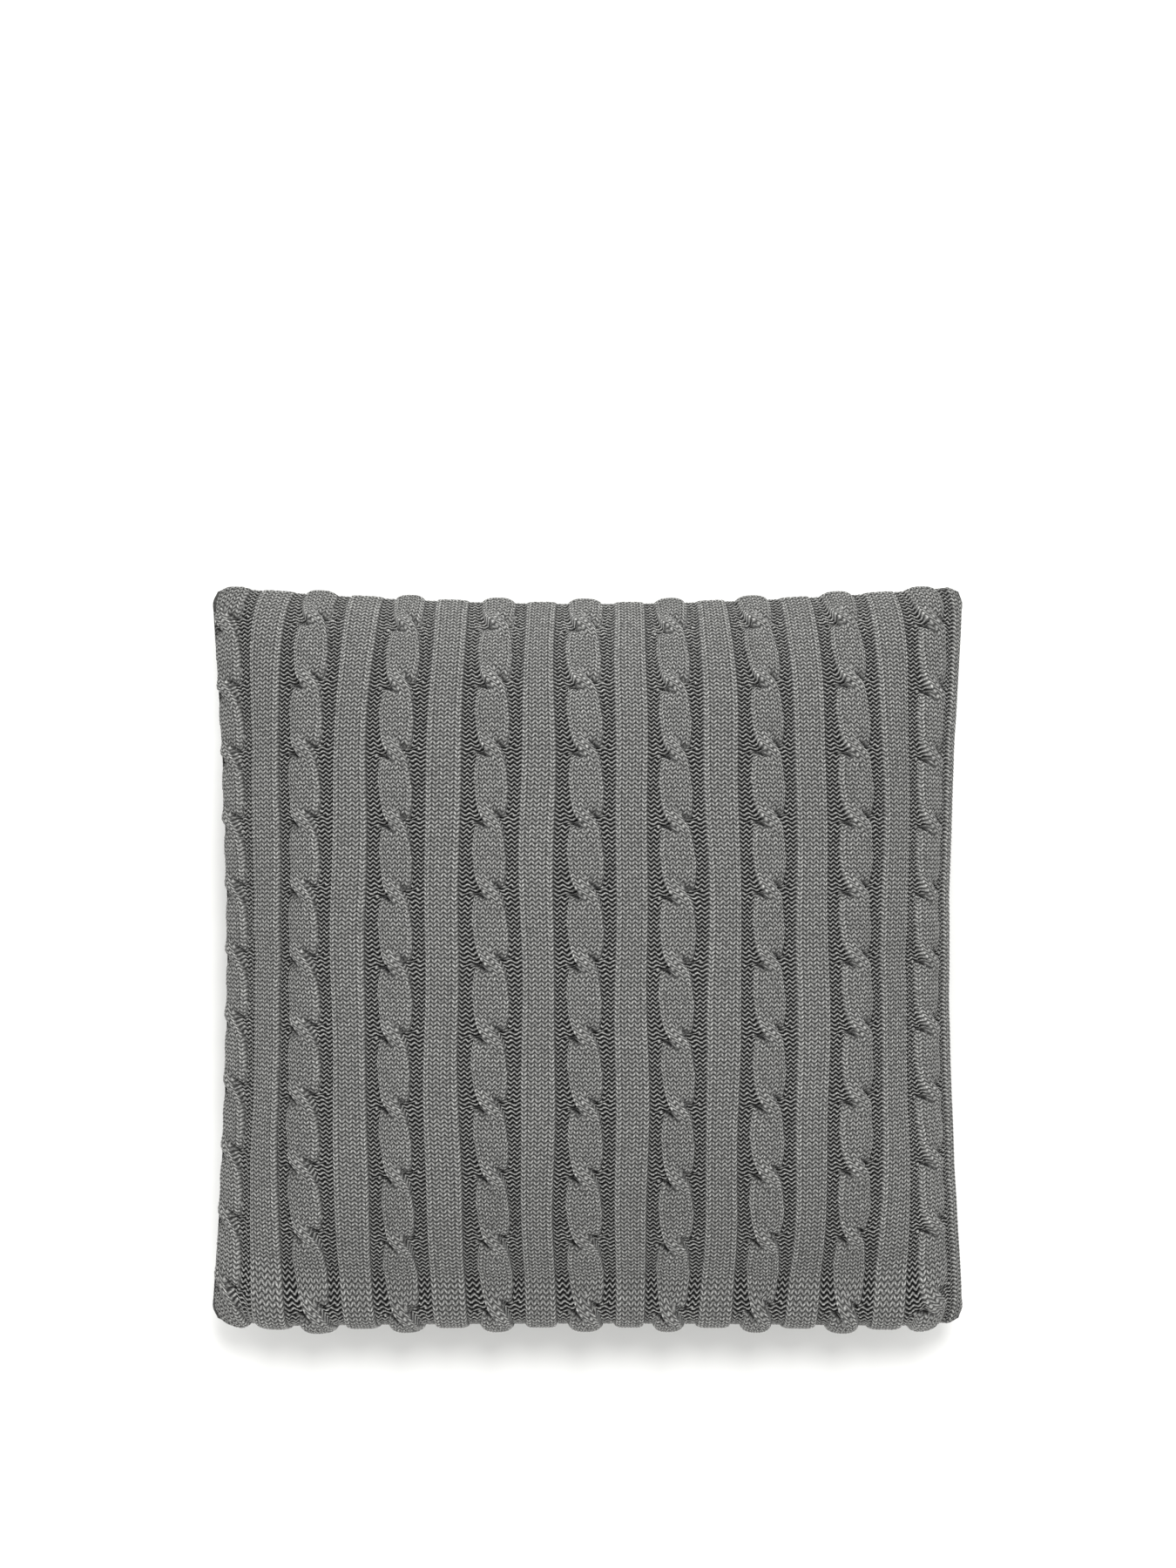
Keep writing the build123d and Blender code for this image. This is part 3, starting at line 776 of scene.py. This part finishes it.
def yarn_material():
    """Soft grey cotton yarn, flecked, with a painted highlight on the crests and painted shade in
    the gaps stitch by stitch, times the painted light stored on the mesh, with a fuzzy sheen and
    a fine fibre bump."""
    material, tree, shader = new_material("knit_yarn")
    place = tree.nodes.new("ShaderNodeTexCoord")
    fleck = add_node(tree, "ShaderNodeTexNoise", Scale=900.0, Detail=3.0)
    patch = add_node(tree, "ShaderNodeTexNoise", Scale=14.0, Detail=2.0)
    fibre = add_node(tree, "ShaderNodeTexNoise", Scale=2600.0, Detail=4.0)
    for node in (fleck, patch, fibre):
        tree.links.new(place.outputs["Object"], node.inputs["Vector"])
    ramp = tree.nodes.new("ShaderNodeValToRGB")
    ramp.color_ramp.elements[0].position = 0.36
    ramp.color_ramp.elements[0].color = YARN_DARK
    ramp.color_ramp.elements[1].position = 0.66
    ramp.color_ramp.elements[1].color = YARN_LIGHT
    tree.links.new(fleck.outputs["Fac"], ramp.inputs["Fac"])
    stitch = tree.nodes.new("ShaderNodeSeparateXYZ")
    tree.links.new(attribute(tree, "stitch").outputs["Vector"], stitch.inputs["Vector"])
    turn = maths(tree, "ARCTAN2", stitch.outputs["Y"], stitch.outputs["X"])
    knit = knit_pattern(tree, turn, stitch.outputs["Z"])
    purl = purl_pattern(tree, stitch.outputs["X"], stitch.outputs["Z"])
    is_purl = attribute(tree, "purl").outputs["Fac"]
    relief = blended(tree, is_purl, knit, purl)
    # painted light stitch by stitch: a painted highlight on the crests of the yarn, painted shade in the
    # gaps between stitches
    knit_crest = maths(tree, "POWER", knit, KNIT_SHARPNESS)
    knit_shade = maths(tree, "MULTIPLY_ADD", knit_crest, KNIT_CREST_HIGHLIGHT, KNIT_GAP_SHADE)
    purl_shade = maths(tree, "MULTIPLY", maths(tree, "POWER", purl, PURL_SHARPNESS), PURL_CREST_HIGHLIGHT)
    shade = blended(tree, is_purl, knit_shade, purl_shade)
    # times the painted light stored on the mesh: painted shade in gutters, creases and at the bands' feet,
    # painted highlights on their outer wales
    shade = maths(tree, "MULTIPLY", shade, attribute(tree, "painted_light").outputs["Fac"])
    uneven = maths(tree, "MULTIPLY_ADD", patch.outputs["Fac"], 0.16, 0.92)
    shade = maths(tree, "MULTIPLY", shade, uneven)
    tree.links.new(multiply_colours(tree, ramp.outputs["Color"], shade), shader.inputs["Base Color"])
    yarn_bump = add_node(tree, "ShaderNodeBump", Strength=0.8, Distance=0.0008)
    fibre_bump = add_node(tree, "ShaderNodeBump", Strength=0.35, Distance=0.0003)
    tree.links.new(maths(tree, "SQRT", relief), yarn_bump.inputs["Height"])
    tree.links.new(fibre.outputs["Fac"], fibre_bump.inputs["Height"])
    tree.links.new(yarn_bump.outputs["Normal"], fibre_bump.inputs["Normal"])
    tree.links.new(fibre_bump.outputs["Normal"], shader.inputs["Normal"])
    shader.inputs["Roughness"].default_value = 0.92
    shader.inputs["Specular IOR Level"].default_value = 0.2
    shader.inputs["Sheen Weight"].default_value = 0.12
    shader.inputs["Sheen Roughness"].default_value = 0.5
    return material


def grey(value):
    return (value, value, 0.98 * value, 1.0)


def patterned_material(name, dark, light, pattern, depth, roughness, **uniform):
    """A material whose colour runs from dark to light, and whose surface rises and falls by depth,
    with a pattern: pattern(tree, place, axes) gives the tone and the height of each place."""
    material, tree, shader = new_material(name)
    place = tree.nodes.new("ShaderNodeTexCoord").outputs["Object"]
    axes = tree.nodes.new("ShaderNodeSeparateXYZ")
    tree.links.new(place, axes.inputs["Vector"])
    tone, height = pattern(tree, place, axes.outputs)
    ramp = tree.nodes.new("ShaderNodeValToRGB")
    ramp.color_ramp.elements[0].position = 0.3
    ramp.color_ramp.elements[0].color = grey(dark)
    ramp.color_ramp.elements[1].position = 0.7
    ramp.color_ramp.elements[1].color = grey(light)
    tree.links.new(tone, ramp.inputs["Fac"])
    tree.links.new(ramp.outputs["Color"], shader.inputs["Base Color"])
    bump = add_node(tree, "ShaderNodeBump", Strength=0.6, Distance=depth)
    tree.links.new(height, bump.inputs["Height"])
    tree.links.new(bump.outputs["Normal"], shader.inputs["Normal"])
    shader.inputs["Roughness"].default_value = roughness
    for socket, value in uniform.items():
        shader.inputs[socket.replace("_", " ")].default_value = value
    return material


def noise(tree, place, scale):
    node = add_node(tree, "ShaderNodeTexNoise", Scale=scale, Detail=3.0)
    tree.links.new(place, node.inputs["Vector"])
    return node.outputs["Fac"]


def ridges(tree, place, pitch):
    """Waves of that pitch along one direction, between -1 and 1."""
    return maths(tree, "SINE", maths(tree, "MULTIPLY", place, 2.0 * math.pi / pitch))


def weave(pitch, first, second):
    """Threads that pass over and under each other along two of the axes."""

    def pattern(tree, place, axes):
        over = maths(tree, "MULTIPLY", ridges(tree, axes[first], pitch), ridges(tree, axes[second], pitch))
        return maths(tree, "MULTIPLY_ADD", over, 0.15, noise(tree, place, 1.0 / pitch)), over

    return pattern


def twist(pitch):
    """The slanting plies of a sewing thread."""

    def pattern(tree, place, axes):
        slant = maths(tree, "ADD", maths(tree, "ADD", axes["X"], axes["Y"]), axes["Z"])
        ply = ridges(tree, slant, pitch)
        return maths(tree, "MULTIPLY_ADD", ply, 0.15, noise(tree, place, 1.0 / pitch)), ply

    return pattern


def grain(scale):
    """An even, fine grain, as of moulded plastic or loose fibre."""

    def pattern(tree, place, axes):
        value = noise(tree, place, scale)
        return value, value

    return pattern


def brushed(tree, place, axes):
    """Fine scratches along X."""
    stretched = add_node(tree, "ShaderNodeMapping", Scale=(0.05, 1.0, 1.0))
    tree.links.new(place, stretched.inputs["Vector"])
    value = noise(tree, stretched.outputs["Vector"], 5000.0)
    return value, value


def floor_material():
    return patterned_material("studio_floor", 0.655, 0.665, grain(40.0), 0.0001, 0.9)


# The stage

PICTURE_HEIGHT = 0.951  # the picture's height, in metres at the seam's level
PICTURE_RISE = 0.1035  # the picture's middle lies this far above the cushion's, along +Y
CAMERA_RISE = 3.0
LIGHT_AIM = (0.0, 0.0, 0.07)
FLOOR_HALF = 4.0


def make_camera():
    """The camera looks straight down, as the picture of the cushion does."""
    data = bpy.data.cameras.new("camera")
    data.sensor_fit = "AUTO"
    data.sensor_width = 36.0
    data.lens = 36.0 * CAMERA_RISE / PICTURE_HEIGHT
    camera = bpy.data.objects.new("camera", data)
    camera.location = (0.0, PICTURE_RISE, SEAM_Z + CAMERA_RISE)
    bpy.context.scene.collection.objects.link(camera)
    bpy.context.scene.camera = camera


def area_light(name, place, size, power):
    """A round soft light, turned towards the cushion's middle."""
    data = bpy.data.lights.new(name, "AREA")
    data.shape = "DISK"
    data.size = size
    data.energy = power
    light = bpy.data.objects.new(name, data)
    light.location = place
    direction = np.array(LIGHT_AIM) - np.array(place)
    light.rotation_euler = (
        math.atan2(math.hypot(direction[0], direction[1]), -direction[2]),
        0.0,
        math.atan2(direction[0], -direction[1]) + math.pi,
    )
    bpy.context.scene.collection.objects.link(light)


def make_stage():
    """A plain pale floor, white surroundings and three soft lights."""
    half = FLOOR_HALF
    points = [(-half, -half, 0.0), (half, -half, 0.0), (half, half, 0.0), (-half, half, 0.0)]
    floor = mesh_object("floor", np.array(points), [[0, 1, 2, 3]])
    floor.data.materials.append(floor_material())
    world = bpy.data.worlds.new("studio")
    world.use_nodes = True
    world.node_tree.nodes["Background"].inputs["Color"].default_value = (1.0, 1.0, 1.0, 1.0)
    world.node_tree.nodes["Background"].inputs["Strength"].default_value = 1.0
    bpy.context.scene.world = world
    area_light("key", (0.3, 1.5, 4.9), 1.3, 188.0)
    area_light("back", (0.0, 3.6, 1.6), 1.5, 150.0)
    area_light("front", (0.0, -3.6, 1.4), 1.5, 85.0)
    bpy.context.scene.view_settings.view_transform = "Standard"


# The soft pieces inside the cover


def scaled_grid(surface, share, steps, lift):
    """The cushion's own surface, made smaller about its middle by a share along each axis, with a
    slow unevenness of that height."""
    line = np.linspace(0.0, 1.0, steps)
    u, v = np.meshgrid(line, line, indexing="ij")
    points, normals = surface.at(u, v)
    points = points + normals * (lift * waves(points[..., 0], points[..., 1], 31, 0.05))[..., None]
    middle = np.array([0.0, 0.0, SEAM_Z])
    return middle + (points - middle) * share


def closed_sheet(name, outer, inner, turned):
    """A closed piece of cloth between two grids of points."""
    index = np.arange(outer.shape[0] * outer.shape[1]).reshape(outer.shape[:2])
    count = index.size
    if turned:
        index = index[::-1]
    ring = np.concatenate([index[:-1, 0], index[-1, :-1], index[:0:-1, -1], index[0, :0:-1]])
    after = np.roll(ring, -1)
    rim = np.stack([after, ring, ring + count, after + count], axis=-1)
    quads = np.concatenate([cell_corners(index), cell_corners(index + count)[:, ::-1], rim])
    return mesh_object(name, np.concatenate([outer.reshape(-1, 3), inner.reshape(-1, 3)]), quads)


PAD_OUTER = (0.955, 0.955, 0.88)  # the pad's size, as a share of the cover's
PAD_INNER = (0.952, 0.952, 0.873)
FIBRE_SHARE = (0.935, 0.935, 0.85)
PAD_LUMP = 0.8 * MM
FIBRE_LUMP = 1.2 * MM
PAD_POINTS = 121
FIBRE_POINTS = 97
LABEL_GRID = (31, 41)  # points across and along a label
LABEL_HALF = 0.2 * MM  # half a label's thickness, and what its hems add to it
LABEL_HEM = 0.15 * MM
RING_POINTS = 12  # points around a seam's bound edge


def pad_case(name, surface):
    """One side of the pad's cotton case."""
    outer = scaled_grid(surface, PAD_OUTER, PAD_POINTS, PAD_LUMP)
    inner = scaled_grid(surface, PAD_INNER, PAD_POINTS, PAD_LUMP)
    return closed_sheet(name, outer, inner, surface.outward < 0)


def pad_filling(front, back):
    """The loose fibre, one lumpy mass between the two sides of the pad's case."""
    gap = np.array([0.0, 0.0, 0.6 * MM])
    upper = scaled_grid(front, FIBRE_SHARE, FIBRE_POINTS, FIBRE_LUMP) + gap
    lower = scaled_grid(back, FIBRE_SHARE, FIBRE_POINTS, FIBRE_LUMP) - gap
    return closed_sheet("pad_filling_fibre", upper, lower, False)


def label(name, surface, node, share, start, end):
    """A blank label lying along a surface, over the place of its CAD node, with thicker hems. It
    runs from start to end, as shares of the panel's length from the zip."""
    low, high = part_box(node)
    v = np.linspace(start, end, LABEL_GRID[1])
    width = surface.width(0.5)
    u = np.linspace(0.5 + low.x / width, 0.5 + high.x / width, LABEL_GRID[0])
    grids = np.meshgrid(u, v, indexing="ij")
    points, normals = surface.at(*grids)
    middle = np.array([0.0, 0.0, SEAM_Z])
    points = middle + (points - middle) * share
    across = np.linspace(0.0, 1.0, LABEL_GRID[0])[:, None]
    hem = smoothstep((0.06 - np.minimum(across, 1.0 - across)) / 0.02) + np.zeros(grids[0].shape)
    half = (LABEL_HALF + LABEL_HEM * hem)[..., None]
    return closed_sheet(name, points + normals * half, points - normals * half, (surface.outward > 0))


def seam_band(name, path, start, depth, thickness, pitch):
    """A seam allowance behind a seam, bound with loops of thread: it starts that far inside the
    path and reaches that much deeper, swelling once for each loop."""
    along = np.concatenate([[0.0], np.cumsum(np.linalg.norm(np.diff(path, axis=0), axis=1))])
    tangent = np.gradient(path, axis=0)
    inward = np.stack([-tangent[:, 1], tangent[:, 0], np.zeros(len(path))], axis=-1)
    inward = inward / np.linalg.norm(inward, axis=1, keepdims=True)
    if np.sum(inward * path) > 0:
        inward = -inward
    swell = 0.85 + 0.15 * np.cos(2.0 * math.pi * along / pitch)
    rings = []
    for turn in np.linspace(0.0, 2.0 * math.pi, RING_POINTS, endpoint=False):
        deep = start + depth * 0.5 * (1.0 - math.cos(turn) * swell)
        high = 0.5 * thickness * math.sin(turn) * swell
        rings.append(path + inward * deep[:, None] + np.outer(high, (0.0, 0.0, 1.0)))
    points = np.stack(rings, axis=1)
    index = np.arange(points.shape[0] * RING_POINTS).reshape(-1, RING_POINTS)
    index = np.concatenate([index, index[:, :1]], axis=1)
    caps = [[int(k) for k in index[0, :-1]], [int(k) for k in index[-1, -2::-1]]]
    return mesh_object(name, points.reshape(-1, 3), cell_corners(index), caps)


SEAM_CLIP = 34.0 * MM  # the seams' allowances stop this far short of each corner


def seam_path(front, side, share):
    """The seam along one side, without its last stretch before each corner tip."""
    clip = SEAM_CLIP / HALF_Y / 2.0
    line = np.linspace(clip, 1.0 - clip, 900)
    ends = {"left": (0.0 * line, line), "right": (0.0 * line + 1.0, line)}
    ends["top"], ends["bottom"] = (line, 0.0 * line + 1.0), (line, 0.0 * line)
    points, _ = front.at(*ends[side])
    points[:, 2] = SEAM_Z
    return points * share


def fit(piece, material, slot, *nodes, fill=None):
    """The piece's material, the body it rides on and the CAD nodes that it stands for."""
    piece.data.materials.append(material)
    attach(piece, "cushion")
    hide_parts(*nodes)


def dress(names, material, bevel):
    """A CAD node's material, and its edges' small rounding."""
    for name in names:
        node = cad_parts[name]
        node.data.materials.clear()
        node.data.materials.append(material)
        rounding = node.modifiers.new("rounding", "BEVEL")
        rounding.width = bevel
        rounding.segments = 3


make_camera()
make_stage()
front_surface, back_surface = cushion_surfaces()

yarn = yarn_material()
for piece in build_front(front_surface):
    fit(piece, yarn, "knit_yarn", "knit_front_panel", fill=0.7)
for piece in build_back(back_surface):
    fit(piece, yarn, "knit_yarn", "knit_back_panel", fill=0.7)

overlock = patterned_material("overlock_thread", 0.09, 0.20, twist(0.7 * MM), 0.0002, 0.85)
for side in ("left", "right", "top"):
    path = seam_path(front_surface, side, 1.0)
    band = seam_band(f"{side}_overlock_loops", path, 3.2 * MM, 5.5 * MM, 2.4 * MM, 2.4 * MM)
    fit(band, overlock, "overlock_thread", f"{side}_seam_overlock")

label_cloth = patterned_material("label_cloth", 0.66, 0.80, weave(0.3 * MM, "X", "Z"), 0.00008, 0.5)
care_label = label("care_label_cloth", back_surface, "care_label", (0.972, 0.972, 0.94), 0.045, 0.12)
pad_label = label("pad_label_cloth", front_surface, "pad_label", (0.962, 0.962, 0.895), 0.915, 0.84)
fit(care_label, label_cloth, "label_cloth", "care_label")
fit(pad_label, label_cloth, "label_cloth", "pad_label")

cotton = patterned_material("pad_cotton", 0.60, 0.74, weave(0.5 * MM, "X", "Y"), 0.0001, 0.9)
fit(pad_case("pad_case_front_cloth", front_surface), cotton, "pad_cotton", "pad_case_front", fill=0.8)
fit(pad_case("pad_case_back_cloth", back_surface), cotton, "pad_cotton", "pad_case_back", fill=0.8)
for side in ("left", "right", "top", "bottom"):
    path = seam_path(front_surface, side, np.array([0.95, 0.95, 1.0]))
    band = seam_band(f"pad_seam_{side}", path, 0.5 * MM, 5.0 * MM, 1.2 * MM, 3.0 * MM)
    fit(band, cotton, "pad_cotton", "pad_case_seam")
fibre = patterned_material("pad_fibre", 0.74, 0.88, grain(500.0), 0.001, 1.0)
fit(pad_filling(front_surface, back_surface), fibre, "pad_fibre", "pad_filling", fill=0.8)

tape = patterned_material("zip_tape_cloth", 0.045, 0.085, weave(0.6 * MM, "X", "Z"), 0.0001, 0.9)
plastic = patterned_material("zip_plastic", 0.035, 0.055, grain(900.0), 0.00004, 0.4)
metal = patterned_material("zip_metal", 0.42, 0.58, brushed, 0.00002, 0.32, Metallic=1.0)
dress(("zip_tape_upper", "zip_tape_lower"), tape, 0.15 * MM)
dress(("zip_teeth_upper", "zip_teeth_lower"), plastic, 0.3 * MM)
dress(("zip_stitching_upper", "zip_stitching_lower"), overlock, 0.2 * MM)
dress(("zip_top_stops", "zip_bottom_stop", "zip_slider", "zip_pull_tab"), metal, 0.2 * MM)
